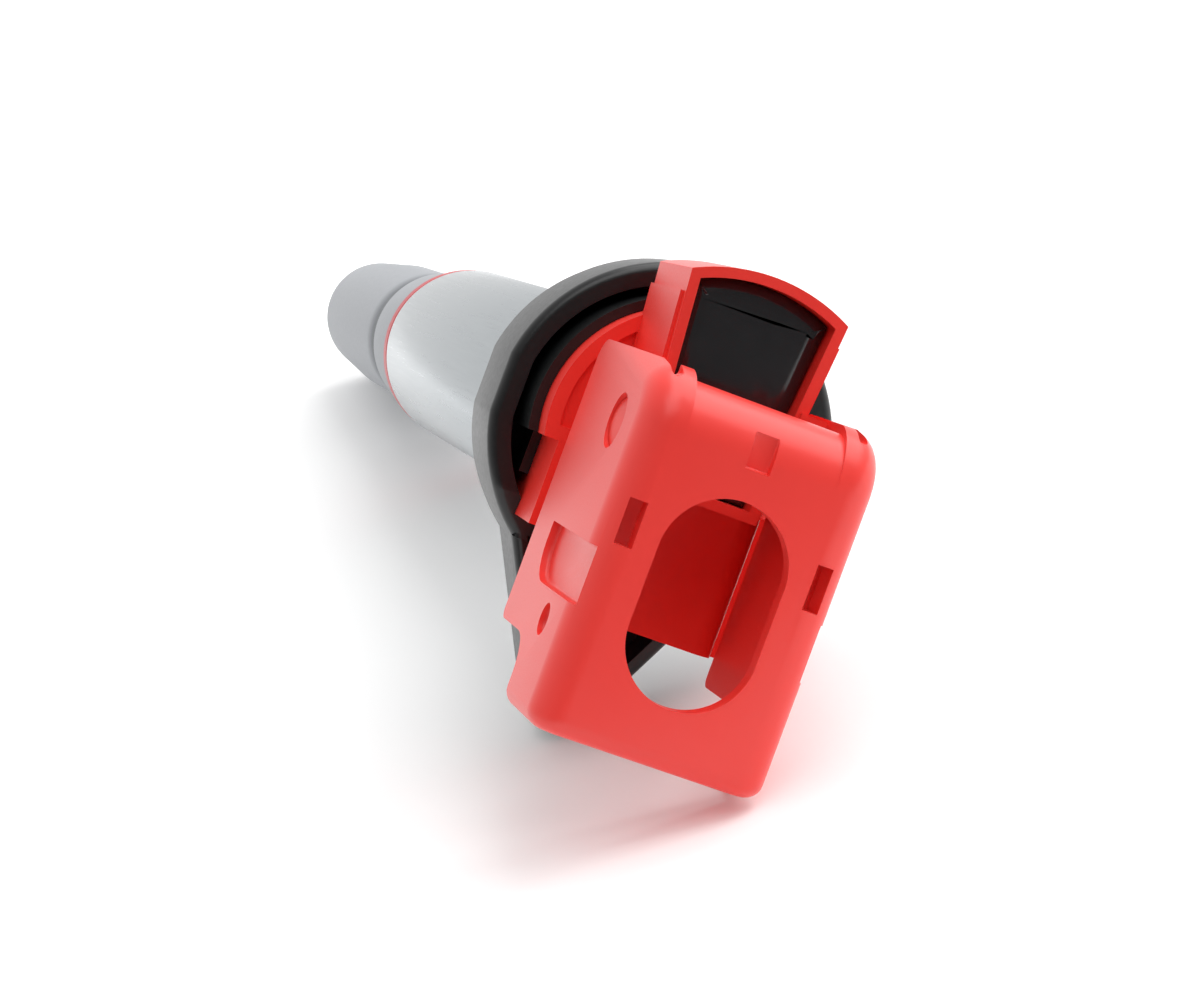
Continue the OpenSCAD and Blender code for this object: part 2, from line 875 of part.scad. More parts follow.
module plug_boot() {
    groove = 1;
    ramp = 1.5;
    upper_groove_l = 5.5;
    band_l = 11;
    lower_groove_l = 5;
    bulb_ramp = 2.5;
    bulb_r = boot_r - 0.5;
    bulb_taper_z = boot_top - 50;
    mouth_r = boot_r - 1.4;
    mouth_round = 4;
    mouth = -reach;
    band_top = boot_top - upper_groove_l - ramp;
    band_bottom = band_top - band_l;
    lower_groove_z = band_bottom - ramp - lower_groove_l;
    color("#bfc0c4")
        difference() {
            rotate_extrude()
                polygon(concat(
                    [[0, boot_top], [boot_r - groove, boot_top]],
                    [[boot_r - groove, boot_top - upper_groove_l], [boot_r, band_top]],
                    [[boot_r, band_bottom], [boot_r - groove, band_bottom - ramp]],
                    [[boot_r - groove, lower_groove_z], [bulb_r, lower_groove_z - bulb_ramp]],
                    [[bulb_r, bulb_taper_z]],
                    arc(mouth_r - mouth_round, mouth + mouth_round, mouth_round, 0, -90, 8),
                    [[0, mouth]]
                ));
            translate([0, 0, hv_tower_end])
                cylinder(r = hv_tower_r + fit_gap, h = boot_top - hv_tower_end + 1);
            translate([0, 0, mouth + plug_grip])
                cylinder(r = boot_cavity_r, h = hv_tower_end - mouth - plug_grip + eps);
            translate([0, 0, mouth - 1])
                cylinder(r = boot_bore_r, h = plug_grip + 1);
        }
}

head_housing();
lock_lever();
head_gasket();
potting_cap();
terminal(0);  // supply_terminal
terminal(1);  // trigger_terminal
terminal(2);  // driver_ground_terminal
terminal(3);  // coil_ground_terminal
igniter_board();
heat_spreader();
power_transistor();
driver_chip();
filter_capacitor();
winding_pins();
steel_sleeve();
flux_shell();
primary_bobbin();
primary_winding();
winding_encapsulant();
secondary_bobbin();
secondary_winding();
core_wrap();
core_stack();
upper_magnet();
lower_magnet();
upper_cushion();
lower_cushion();
high_voltage_tower();
sleeve_collar();
suppression_diode();
high_voltage_terminal();
suppression_resistor();
resistor_caps();
contact_spring();
contact_cap();
plug_boot();
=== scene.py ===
import math

import bmesh
import bpy
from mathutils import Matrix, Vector


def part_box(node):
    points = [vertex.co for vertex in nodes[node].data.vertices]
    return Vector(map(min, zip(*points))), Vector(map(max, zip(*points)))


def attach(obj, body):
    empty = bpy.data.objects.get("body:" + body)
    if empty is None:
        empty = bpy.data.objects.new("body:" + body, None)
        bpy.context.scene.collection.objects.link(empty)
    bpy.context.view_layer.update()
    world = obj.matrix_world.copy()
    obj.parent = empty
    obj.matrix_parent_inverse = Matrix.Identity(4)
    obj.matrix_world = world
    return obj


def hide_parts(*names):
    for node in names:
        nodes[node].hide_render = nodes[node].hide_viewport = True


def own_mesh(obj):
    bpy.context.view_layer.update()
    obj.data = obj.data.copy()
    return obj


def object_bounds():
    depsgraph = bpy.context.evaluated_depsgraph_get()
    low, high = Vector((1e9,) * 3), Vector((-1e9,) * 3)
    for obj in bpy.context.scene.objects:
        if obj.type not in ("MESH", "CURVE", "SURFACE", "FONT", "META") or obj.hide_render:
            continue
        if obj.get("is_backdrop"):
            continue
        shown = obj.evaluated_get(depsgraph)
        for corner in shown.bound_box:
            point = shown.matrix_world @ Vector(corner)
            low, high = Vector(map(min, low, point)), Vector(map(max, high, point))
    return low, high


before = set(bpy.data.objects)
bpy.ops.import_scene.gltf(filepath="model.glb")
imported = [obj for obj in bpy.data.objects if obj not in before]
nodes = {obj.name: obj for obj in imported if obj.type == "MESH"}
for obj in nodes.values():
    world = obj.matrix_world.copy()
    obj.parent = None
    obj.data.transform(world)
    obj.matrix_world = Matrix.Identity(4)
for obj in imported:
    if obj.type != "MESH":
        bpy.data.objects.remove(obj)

cad_box = [list(corner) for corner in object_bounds()]
scene = bpy.context.scene
mm = 0.001
bpy.ops.object.select_all(action="DESELECT")

# ---------------------------------------------------------------- camera
# The coil lies on its side on a table. The camera looks down on the head from a little
# above the table, so the winding stick runs away from it.
bpy.ops.object.camera_add(
    location=(-0.07906, 0.00465, 0.31955),
    rotation=(math.radians(-6.89), math.radians(-12.12), math.radians(20.76)),
)
camera = bpy.context.object
camera.data.lens = 99
camera.data.sensor_width = 36
camera.data.clip_start = 0.01
camera.data.clip_end = 10
scene.camera = camera

# ---------------------------------------------------------------- table
# A pale matt table top. The coil rests on it by the corner of the lever, the tip of the
# gasket's tongue and the boot, so the table is tilted in the coil's own frame. It has an
# upper side only, so that a view from under it isn't blocked. It carries painted light: an
# emission that is faint near the coil and grows further out, standing in for a sweep lit from behind.
up = Vector((-0.598, 0.797, 0.090)).normalized()
table_low = -0.02430
table_size = 3.0
table_behind = 1.1
table_before = 0.12


def linear(colour, alpha=1.0):
    """A hex colour such as "ff8800" as the linear values that the shaders take."""
    parts = [int(colour[i:i + 2], 16) / 255 for i in (0, 2, 4)]
    return [p / 12.92 if p <= 0.04045 else ((p + 0.055) / 1.055) ** 2.4 for p in parts] + [alpha]


def start_material(name):
    """A new material and its shader."""
    made = bpy.data.materials.new(name)
    made.use_nodes = True
    return made, made.node_tree.nodes["Principled BSDF"]


def add(beside, kind, inputs=None, **settings):
    """Add a node to the tree that holds another node, set its properties, and set or link its inputs."""
    tree = beside.id_data
    node = tree.nodes.new("ShaderNode" + kind)
    for name, value in settings.items():
        setattr(node, name, value)
    for name, value in (inputs or {}).items():
        if isinstance(value, bpy.types.NodeSocket):
            tree.links.new(value, node.inputs[name])
        else:
            node.inputs[name].default_value = value
    return node


def put(material, *pieces):
    """Give pieces this material in place of any other."""
    for piece in pieces:
        piece.data.materials.clear()
        piece.data.materials.append(material)


table_top, shader = start_material("matt_white_laminate_painted_glow")
shader.inputs["Base Color"].default_value = linear("f6f6f6")
shader.inputs["Roughness"].default_value = 0.7
shader.inputs["Emission Color"].default_value = linear("ffffff")
place = add(shader, "TexCoord")
away = add(shader, "VectorMath", {0: place.outputs["Object"]}, operation="LENGTH")
# Painted light: the table's emission, faint near the coil and growing with distance from it
glow = add(shader, "MapRange", {"Value": away.outputs["Value"], "From Min": 0.15, "From Max": 0.45,
                                "To Min": 0.08, "To Max": 0.8})
shader.id_data.links.new(glow.outputs[0], shader.inputs["Emission Strength"])
side = add(shader, "NewGeometry")
clear = add(shader, "BsdfTransparent")
output = shader.id_data.nodes["Material Output"]
one_sided = add(shader, "MixShader", {0: side.outputs["Backfacing"], 1: shader.outputs[0],
                                      2: clear.outputs[0]})
shader.id_data.links.new(one_sided.outputs[0], output.inputs["Surface"])

toward_camera = camera.location - up * camera.location.dot(up)
toward_camera.normalize()
middle = up * table_low - toward_camera * (table_behind - table_before)
bpy.ops.mesh.primitive_plane_add(size=1)
table = bpy.context.object
table.name = "table_top"
sideways = toward_camera.cross(up)
for vertex in table.data.vertices:
    along, across = vertex.co.y, vertex.co.x
    vertex.co = middle - toward_camera * along * 2 * table_behind + sideways * across * table_size
table.data.update()
if table.data.polygons[0].normal.dot(up) < 0:
    table.data.flip_normals()
put(table_top, table)
table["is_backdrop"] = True

# ---------------------------------------------------------------- lights
# A light tent: soft white all round, dark only where the camera looks in, with one large lamp
# above and a small fill beside the camera.
target = Vector((0, 0, 0.01))
lamp_away = 0.75
for name, direction, size, radiance in (
    ("overhead", (0.07, 0.85, 0.05), 0.8, 2.6),
    ("fill", (-0.30, 0.70, 0.70), 0.5, 2.1),
):
    bpy.ops.object.light_add(type="AREA")
    lamp = bpy.context.object
    lamp.name = name
    lamp.data.shape = "SQUARE"
    lamp.data.size = size
    lamp.data.energy = radiance * math.pi * size * size
    aim = Vector(direction).normalized()
    lamp.location = target + aim * lamp_away
    lamp.rotation_mode = "QUATERNION"
    lamp.rotation_quaternion = (-aim).to_track_quat("-Z", "Y")
    lamp.visible_camera = False

scene.world = bpy.data.worlds.new("light_tent")
scene.world.use_nodes = True
tent = scene.world.node_tree.nodes["Background"]
tent.inputs["Color"].default_value = linear("ffffff")
place = add(tent, "TexCoord")
opening = add(tent, "VectorMath", {0: place.outputs["Generated"], 1: (0.24, -0.04, 0.97)},
              operation="DOT_PRODUCT")
cloth = add(tent, "MapRange", {"Value": opening.outputs["Value"], "From Min": -0.7, "From Max": 0.85,
                               "To Min": 1.05, "To Max": 0.18})
scene.world.node_tree.links.new(cloth.outputs[0], tent.inputs["Strength"])
seen = add(tent, "LightPath")
white = add(tent, "Background", {"Color": linear("ffffff"), "Strength": 1.0})
mixed = add(tent, "MixShader", {0: seen.outputs["Is Camera Ray"], 1: tent.outputs[0],
                                2: white.outputs[0]})
world_output = scene.world.node_tree.nodes["World Output"]
scene.world.node_tree.links.new(mixed.outputs[0], world_output.inputs["Surface"])
scene.view_settings.view_transform = "Standard"

# ---------------------------------------------------------------- core and magnets
# The open core: strips of grain-oriented electrical steel stacked into a round bundle, with a
# magnet at each end that biases it, and a soft disc that takes up the growth of the stack.
# The slit shell round the windings is rolled from the same steel.


def join(shader, socket, output):
    """Link a node's output to a socket of the shader."""
    shader.id_data.links.new(output, shader.inputs[socket])


def relief(shader, size, depth, roughness, stretch=(1, 1, 1)):
    """Fine relief of one grain size and depth, in millimetres, with the roughness between two values."""
    place = add(shader, "TexCoord")
    fit = add(shader, "Mapping", {"Vector": place.outputs["Object"],
                                  "Scale": [1 / (size * mm * s) for s in stretch]})
    grain = add(shader, "TexNoise", {"Vector": fit.outputs[0], "Scale": 1.0, "Detail": 3.0,
                                     "Roughness": 0.6})
    bump = add(shader, "Bump", {"Height": grain.outputs["Fac"], "Distance": depth * mm, "Strength": 1.0})
    join(shader, "Normal", bump.outputs[0])
    spread = add(shader, "MapRange", {"Value": grain.outputs["Fac"], "From Min": 0.3, "From Max": 0.7,
                                      "To Min": roughness[0], "To Max": roughness[1]})
    join(shader, "Roughness", spread.outputs[0])
    return grain


def two_tone(shader, factor, first, second):
    """Colour the shader with a blend of two hex colours."""
    blend = add(shader, "Mix", {0: factor, 6: linear(first), 7: linear(second)}, data_type="RGBA")
    join(shader, "Base Color", blend.outputs[2])


def stripes(shader, width, axis, depth):
    """Parallel ridges of a real width along one axis, added to the relief that is there."""
    place = add(shader, "TexCoord")
    lines = add(shader, "TexWave", {"Vector": place.outputs["Object"],
                                    "Scale": 0.05 * math.tau / (width * mm),
                                    "Distortion": 0.0, "Detail": 0.0},
                wave_type="BANDS", bands_direction=axis)
    grained = shader.inputs["Normal"].links[0].from_socket
    ridges = add(shader, "Bump", {"Height": lines.outputs["Fac"], "Distance": depth * mm,
                                  "Strength": 1.0, "Normal": grained})
    join(shader, "Normal", ridges.outputs[0])
    return lines


def dress(material, *names):
    """Give a better material to CAD nodes that keep their own mesh."""
    for name in names:
        for part in nodes[name].material_slots:
            part.material = material


# Cold-rolled strip with a blue-grey insulating coat, dull along the rolling direction. The
# edges of 0.35 mm sheets show as fine lines.
electrical_steel, shader = start_material("coated_electrical_steel")
shader.inputs["Metallic"].default_value = 1.0
grain = relief(shader, 0.5, 0.01, (0.38, 0.52), (1, 1, 14))
two_tone(shader, grain.outputs["Fac"], "6d737b", "8e949b")
stripes(shader, 0.35, "Y", 0.03)
dress(electrical_steel, "core_stack")

# The shell is one sheet, so it has no laminations, only rolling marks and heat tint
shell_steel, shader = start_material("rolled_electrical_steel")
shader.inputs["Metallic"].default_value = 1.0
grain = relief(shader, 0.6, 0.012, (0.32, 0.48), (1, 1, 20))
two_tone(shader, grain.outputs["Fac"], "777c84", "9a9fa4")
dress(shell_steel, "flux_shell")

# Nickel plate over sintered magnet: a grey metal with a faint orange-peel
magnet_plate, shader = start_material("nickel_plated_magnet")
shader.inputs["Metallic"].default_value = 1.0
grain = relief(shader, 0.35, 0.012, (0.25, 0.36))
two_tone(shader, grain.outputs["Fac"], "7c7a76", "98958f")
dress(magnet_plate, "upper_magnet", "lower_magnet")

# Closed-cell silicone foam: small cells show as pits
foam, shader = start_material("silicone_foam")
grain = relief(shader, 0.45, 0.12, (0.75, 0.9))
two_tone(shader, grain.outputs["Fac"], "6c4b3a", "94705a")
dress(foam, "upper_cushion", "lower_cushion")

# Shrunk polyolefin tube, half gloss, with shallow wrinkles along it
shrunk_tube, shader = start_material("shrunk_polyolefin_tube")
grain = relief(shader, 1.2, 0.05, (0.35, 0.5), (1, 1, 6))
two_tone(shader, grain.outputs["Fac"], "22252a", "34383f")
dress(shrunk_tube, "core_wrap")

# ---------------------------------------------------------------- bobbins and windings
# The secondary is wound from hair-fine wire in the chambers of the inner bobbin. The primary
# is a few layers of thick wire on the outer bobbin, and cast resin fills the space between.

# Glass-filled polyester in its natural colour, with fibre showing as pale flecks
bobbin, shader = start_material("glass_filled_polyester")
grain = relief(shader, 0.3, 0.01, (0.4, 0.55), (1, 1, 3))
two_tone(shader, grain.outputs["Fac"], "cdbd92", "e6dcc0")
dress(bobbin, "primary_bobbin", "secondary_bobbin")

# Enamelled wire: the copper shows through a clear amber coat. The primary's wire is 0.5 mm
# thick. The secondary's 0.06 mm wire is drawn at 0.18 mm, which is as fine as can show.
for name, wire, dark, light in (
    ("primary_winding", 0.5, "8a3d16", "c87a3c"),
    ("secondary_winding", 0.18, "7a3a1a", "ad5a2c"),
):
    copper_wire, shader = start_material("enamelled_copper_wire_" + name.split("_")[0])
    shader.inputs["Metallic"].default_value = 1.0
    shader.inputs["Coat Weight"].default_value = 0.6
    shader.inputs["Coat Roughness"].default_value = 0.15
    relief(shader, 0.8, 0.01, (0.25, 0.36))
    turns = stripes(shader, wire, "Z", wire / 4)
    two_tone(shader, turns.outputs["Fac"], dark, light)
    dress(copper_wire, name)

# Unfilled epoxy, dark amber and glossy where it met the mould
stick_resin, shader = start_material("amber_casting_epoxy")
shader.inputs["IOR"].default_value = 1.55
grain = relief(shader, 3.0, 0.02, (0.12, 0.22))
two_tone(shader, grain.outputs["Fac"], "2b1f14", "4a3620")
dress(stick_resin, "winding_encapsulant")

# ---------------------------------------------------------------- steel sleeve
# A drawn steel tube that holds the windings and closes their magnetic path. Its lower end is
# turned in over the plug, and its upper end is necked for the gasket.


def block(low, high):
    """A box between two corners, given in millimetres."""
    low, high = Vector(low) * mm, Vector(high) * mm
    bpy.ops.mesh.primitive_cube_add(size=1, location=(low + high) / 2, scale=high - low)
    bpy.ops.object.transform_apply(location=True, rotation=True, scale=True)
    return bpy.context.object


def rod(radius, start, end, sides=64):
    """A round bar between two points, given in millimetres."""
    start, end = Vector(start) * mm, Vector(end) * mm
    turn = (end - start).to_track_quat("Z", "Y").to_euler()
    bpy.ops.mesh.primitive_cylinder_add(vertices=sides, radius=radius * mm, depth=(end - start).length,
                                        location=(start + end) / 2, rotation=turn)
    bpy.ops.object.transform_apply(location=True, rotation=True, scale=True)
    return bpy.context.object


def work_on(piece):
    """Make a piece the only selected one, and the active one."""
    bpy.ops.object.select_all(action="DESELECT")
    piece.select_set(True)
    bpy.context.view_layer.objects.active = piece


def pick(kind, test):
    """In edit mode, select the verts or edges whose middle, in millimetres, and direction pass."""
    bpy.ops.mesh.select_mode(type={"verts": "VERT", "edges": "EDGE"}[kind])
    bpy.ops.mesh.select_all(action="DESELECT")
    mesh = bmesh.from_edit_mesh(bpy.context.object.data)
    for part in getattr(mesh, kind):
        if kind == "edges":
            ends = [v.co for v in part.verts]
            place, way = (ends[0] + ends[1]) / 2, (ends[1] - ends[0]).normalized()
        else:
            place, way = part.co, part.normal
        part.select_set(bool(test(place / mm, way)))
    bmesh.update_edit_mesh(bpy.context.object.data)


def round_edges(piece, test, radius, segments=6):
    """Bevel the edges of a piece that pass the test."""
    work_on(piece)
    bpy.ops.object.mode_set(mode="EDIT")
    pick("edges", test)
    bpy.ops.mesh.bevel(offset=radius * mm, segments=segments, affect="EDGES", clamp_overlap=False)
    bpy.ops.object.mode_set(mode="OBJECT")
    return piece


def shift(piece, test, step):
    """Move the vertices of a piece that pass the test by a step in millimetres."""
    work_on(piece)
    bpy.ops.object.mode_set(mode="EDIT")
    pick("verts", test)
    bpy.ops.transform.translate(value=Vector(step) * mm)
    bpy.ops.object.mode_set(mode="OBJECT")
    return piece


def widen(piece, test, factor):
    """Stretch the vertices of a piece that pass the test away from its middle plane."""
    work_on(piece)
    bpy.ops.object.mode_set(mode="EDIT")
    pick("verts", test)
    bpy.ops.transform.resize(value=(factor, 1, 1), center_override=(0, 0, 0))
    bpy.ops.object.mode_set(mode="OBJECT")
    return piece


def combine(piece, tool, operation):
    """Apply a boolean with a tool that is then thrown away."""
    work_on(piece)
    bpy.ops.object.modifier_add(type="BOOLEAN")
    modifier = piece.modifiers[-1]
    modifier.operation = operation
    modifier.solver = "EXACT"
    modifier.object = tool
    bpy.ops.object.modifier_apply(modifier=modifier.name)
    bpy.data.objects.remove(tool)
    return piece


def finish_piece(piece, name, radius, segments=3, angle=35):
    """Break every sharp edge as a mould does, and shade the piece smooth."""
    work_on(piece)
    piece.name = name
    bpy.ops.object.mode_set(mode="EDIT")
    bpy.ops.mesh.select_all(action="SELECT")
    bpy.ops.mesh.remove_doubles(threshold=0.004 * mm)
    bpy.ops.mesh.dissolve_limited(angle_limit=math.radians(0.5))
    bpy.ops.object.mode_set(mode="OBJECT")
    bpy.ops.object.modifier_add(type="BEVEL")
    modifier = piece.modifiers[-1]
    modifier.width = radius * mm
    modifier.segments = segments
    modifier.limit_method = "ANGLE"
    modifier.angle_limit = math.radians(angle)
    modifier.harden_normals = True
    modifier.miter_outer = "MITER_ARC"
    bpy.ops.object.shade_smooth()
    bpy.ops.object.modifier_apply(modifier=modifier.name)
    return piece


def arc(middle, radius, start, end, steps=8):
    """Points on an arc in the plane of radius and height, in millimetres, between two angles in degrees."""
    angles = [math.radians(start + (end - start) * i / steps) for i in range(steps + 1)]
    return [(middle[0] + radius * math.cos(a), middle[1] + radius * math.sin(a)) for a in angles]


def turned(outline, sides=128):
    """Turn a closed outline of (radius, height) round the coil's axis: a circle drawn out ring by ring."""
    radius, height = outline[0]
    bpy.ops.mesh.primitive_circle_add(vertices=sides, radius=radius * mm, location=(0, 0, height * mm))
    bpy.ops.object.transform_apply(location=True, rotation=True, scale=True)
    bpy.ops.object.mode_set(mode="EDIT")
    bpy.ops.mesh.select_all(action="SELECT")
    for new_radius, new_height in outline[1:] + outline[:1]:
        bpy.ops.mesh.extrude_region_move(
            TRANSFORM_OT_translate={"value": (0, 0, (new_height - height) * mm)})
        wider = new_radius / radius
        bpy.ops.transform.resize(value=(wider, wider, 1), center_override=(0, 0, 0))
        radius, height = new_radius, new_height
    bpy.ops.mesh.select_all(action="SELECT")
    bpy.ops.mesh.remove_doubles(threshold=0.002 * mm)
    bpy.ops.mesh.normals_make_consistent(inside=False)
    bpy.ops.object.mode_set(mode="OBJECT")
    return bpy.context.object


def belongs(piece, body, node):
    """Parent a piece to the body it rides on, and hide the CAD node that it stands for."""
    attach(piece, body)
    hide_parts(node)


sleeve_low, sleeve_high = (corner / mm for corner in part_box("steel_sleeve"))
sleeve_r = sleeve_high.x
sleeve_in = sleeve_r - 0.8
neck_r = sleeve_r - 0.3
neck_z = -8.2
sleeve = turned(
    arc((sleeve_r - 1.2, sleeve_low.z + 1.2), 1.2, -80, 0)
    + [(sleeve_r, neck_z - 0.3), (neck_r, neck_z), (neck_r, sleeve_high.z), (sleeve_in, sleeve_high.z),
       (sleeve_in, sleeve_low.z)])
finish_piece(sleeve, "drawn_steel_sleeve", 0.15, 2, 50)
belongs(sleeve, "coil", "steel_sleeve")

# Bright drawn steel under a thin nickel plate: the die leaves fine lines along the tube
drawn_steel, shader = start_material("bright_drawn_steel")
shader.inputs["Metallic"].default_value = 1.0
grain = relief(shader, 0.4, 0.006, (0.26, 0.34), (1, 1, 30))
two_tone(shader, grain.outputs["Fac"], "a6aaad", "b6babc")
put(drawn_steel, sleeve)

# ---------------------------------------------------------------- high-voltage end
# An insulating plug closes the sleeve and runs on as a tube. A diode, a brass cup, a resistor
# and a spring are stacked in it, so that the high voltage reaches the plug's terminal.

# Black glass-filled moulding, half matt
tower_plastic, shader = start_material("black_glass_filled_polyester")
grain = relief(shader, 0.35, 0.012, (0.42, 0.58))
two_tone(shader, grain.outputs["Fac"], "2a2d31", "3c4045")
dress(tower_plastic, "high_voltage_tower")

# Dark moulding compound of chips and of the diode: matt, with a fine sandy grain
compound, shader = start_material("epoxy_moulding_compound")
grain = relief(shader, 0.15, 0.01, (0.55, 0.7))
two_tone(shader, grain.outputs["Fac"], "1b1d1f", "2c2f31")
dress(compound, "suppression_diode", "power_transistor", "driver_chip")

# Brass sheet, drawn and tinned thinly, so that some yellow shows
brass, shader = start_material("tinned_brass")
shader.inputs["Metallic"].default_value = 1.0
grain = relief(shader, 0.3, 0.006, (0.22, 0.36), (1, 1, 4))
two_tone(shader, grain.outputs["Fac"], "b79a52", "d8c583")
dress(brass, "high_voltage_terminal", "contact_cap", "winding_pins", "supply_terminal",
      "trigger_terminal", "driver_ground_terminal", "coil_ground_terminal")

# The resistor's body is a fired ceramic rod, unglazed
fired_rod, shader = start_material("unglazed_fired_ceramic")
grain = relief(shader, 0.2, 0.01, (0.6, 0.75))
two_tone(shader, grain.outputs["Fac"], "c2b8a5", "dad3c4")
dress(fired_rod, "suppression_resistor")

# Its end caps are pressed steel with a nickel flash
pressed_cap, shader = start_material("nickel_flashed_steel")
shader.inputs["Metallic"].default_value = 1.0
grain = relief(shader, 0.3, 0.006, (0.25, 0.38))
two_tone(shader, grain.outputs["Fac"], "a8aaad", "c3c5c7")
dress(pressed_cap, "resistor_caps")

# ---------------------------------------------------------------- contact spring
# A compression spring wound from stainless wire. It presses the contact cap on the plug and
# carries the current, and its two ends are cut square.
spring_low, spring_high = (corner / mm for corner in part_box("contact_spring"))
wire_r = 0.4
spring_r = spring_high.x - wire_r
spring_turns = 12
spring_steps = 28
spring_pitch = (spring_high.z - spring_low.z - 2 * wire_r) / spring_turns
bpy.ops.mesh.primitive_circle_add(vertices=14, radius=wire_r * mm, rotation=(math.pi / 2, 0, 0),
                                  location=(spring_r * mm, 0, (spring_low.z + wire_r) * mm))
spring = bpy.context.object
spring.name = "wound_contact_spring"
bpy.ops.object.transform_apply(location=True, rotation=True, scale=True)
bpy.ops.object.modifier_add(type="SCREW")
winding = spring.modifiers[-1]
winding.axis = "Z"
winding.angle = math.tau
winding.iterations = spring_turns
winding.screw_offset = spring_pitch * mm
winding.steps = spring_steps
winding.render_steps = spring_steps
bpy.ops.object.modifier_apply(modifier=winding.name)
bpy.ops.object.mode_set(mode="EDIT")
bpy.ops.mesh.select_mode(type="EDGE")
bpy.ops.mesh.select_all(action="DESELECT")
bpy.ops.mesh.select_non_manifold()
bpy.ops.mesh.fill()
bpy.ops.mesh.select_all(action="SELECT")
bpy.ops.mesh.normals_make_consistent(inside=False)
bpy.ops.object.mode_set(mode="OBJECT")
bpy.ops.object.shade_smooth_by_angle(angle=math.radians(50))
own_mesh(spring)
belongs(spring, "coil", "contact_spring")

# Stainless spring wire, bright, with drawing marks round the wire
spring_wire, shader = start_material("stainless_spring_wire")
shader.inputs["Metallic"].default_value = 1.0
grain = relief(shader, 0.15, 0.004, (0.2, 0.3))
two_tone(shader, grain.outputs["Fac"], "bfc1c3", "dddedf")
put(spring_wire, spring)

# ---------------------------------------------------------------- sleeve collar
# A thin ring of red polyester between the steel sleeve and the boot. It centres the boot and
# keeps the sleeve's turned-in edge from cutting it.
collar_low, collar_high = (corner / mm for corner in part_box("sleeve_collar"))
collar_in = 5.55
collar = turned([(collar_in, collar_low.z), (collar_high.x, collar_low.z),
                 (collar_high.x, collar_high.z), (collar_in, collar_high.z)])
finish_piece(collar, "red_collar_ring", 0.35, 4, 50)
belongs(collar, "coil", "sleeve_collar")

# Red polyester, smooth from the mould
ring_plastic, shader = start_material("smooth_red_polyester")
grain = relief(shader, 0.5, 0.006, (0.34, 0.44))
two_tone(shader, grain.outputs["Fac"], "b81f2a", "c92a33")
put(ring_plastic, collar)

# ---------------------------------------------------------------- plug boot
# A silicone rubber boot, moulded in light grey, which grips the spark plug's insulator. Two
# grooves round it let it bend and give a hold for pulling the coil out.
boot_low, boot_high = (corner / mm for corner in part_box("plug_boot"))
boot_r = boot_high.x
boot_top = boot_high.z
groove_r = boot_r - 1.0
bulb_r = boot_r - 0.5
grip_r = 5.1
hollow_r = 4.3
tower_r = 5.55
grip_z = -160.5
tower_z = -145.95
boot = turned(
    [(grip_r, boot_low.z + 0.1), (grip_r + 0.5, boot_low.z + 0.05)]
    + arc((4.3, boot_low.z + 3.9), 3.85, -55, 0, 6)
    + [(bulb_r, boot_top - 50), (bulb_r, boot_top - 27), (groove_r, boot_top - 24.5),
       (groove_r, boot_top - 19.5), (boot_r, boot_top - 18), (boot_r, boot_top - 7),
       (groove_r, boot_top - 5.5), (groove_r, boot_top), (tower_r, boot_top), (tower_r, tower_z),
       (hollow_r, tower_z), (hollow_r, grip_z), (grip_r, grip_z)], 96)
round_edges(boot, lambda p, d: p.xy.length > groove_r - 0.3 and boot_top - 30 < p.z < boot_top - 3
            and abs(d.z) < 0.1, 0.7, 4)
finish_piece(boot, "grey_silicone_boot", 0.25, 3, 50)
belongs(boot, "coil", "plug_boot")

# Silicone rubber: soft and matt, with painted shade in the grooves, which are coloured darker
# than the raised bands and the bulb.
silicone, shader = start_material("grey_silicone_rubber")
shader.inputs["IOR"].default_value = 1.41
shader.inputs["Sheen Weight"].default_value = 0.15
shader.inputs["Sheen Roughness"].default_value = 0.6
relief(shader, 0.6, 0.015, (0.5, 0.62))
place = add(shader, "TexCoord")
parts = add(shader, "SeparateXYZ", {"Vector": place.outputs["Object"]})
flat = add(shader, "CombineXYZ", {"X": parts.outputs["X"], "Y": parts.outputs["Y"]})
radius = add(shader, "VectorMath", {0: flat.outputs[0]}, operation="LENGTH")
raised = add(shader, "MapRange", {"Value": radius.outputs["Value"], "From Min": (groove_r + 0.05) * mm,
                                  "From Max": (groove_r + 0.45) * mm})
lower = add(shader, "MapRange", {"Value": parts.outputs["Z"], "From Min": (boot_top - 25.5) * mm,
                                 "From Max": (boot_top - 27) * mm})
clear_of_groove_shade = add(shader, "Math", {0: raised.outputs[0], 1: lower.outputs[0]}, operation="MAXIMUM")
# Painted shade: darker grey in the grooves, lighter grey on the raised bands and the bulb
two_tone(shader, clear_of_groove_shade.outputs[0], "5c5f64", "9a9da2")
put(silicone, boot)

# ---------------------------------------------------------------- head housing
# The red head is one moulding in glass-filled polyester: a round body that carries the coil, a
# cup for the igniter, the shroud of the connector, and two posts with the lever's studs.
body_r = 13.0
body_low = 1.6
shoulder_z = 18.5
round_end = -3.3
platform_half = 11.1
platform_front = -11.5
cup_r = 17.6
cup_z = 30.7
cup_back = -4.2
cup_wall = 1.0
cup_floor = 1.2
cup_reach = 19
side_step = 0.35
wall_t = 1.6
neck_out = 10.15
neck_in = 8.6
neck_low = -10
blade_pitch = 2.9
blade_z = 17.45
shroud_half = 9
shroud_front = -17.6
shroud_low = 11
shroud_high = 24
ledge_half = 10
ledge_low = 17.4
ledge_high = 20.5
socket_half = 7.5
socket_low = 12.6
socket_high = 22.3
socket_end = -10.6
post_in = 7.2
post_out = 9.0
post_half = 3.5
stop_y = 6.9
stop_z = 31.3
pivot_y = 0.6
pivot_z = 37.3
stud_r = 2.5
stud_end = 11.05
slope_from = 10
slope_reach = 4
slope_low = 11.27
slope_high = 9.57


def cup_half(y):
    """Half the cup's width, which grows a little outwards."""
    return 7.85 + (y - 16) * 0.088


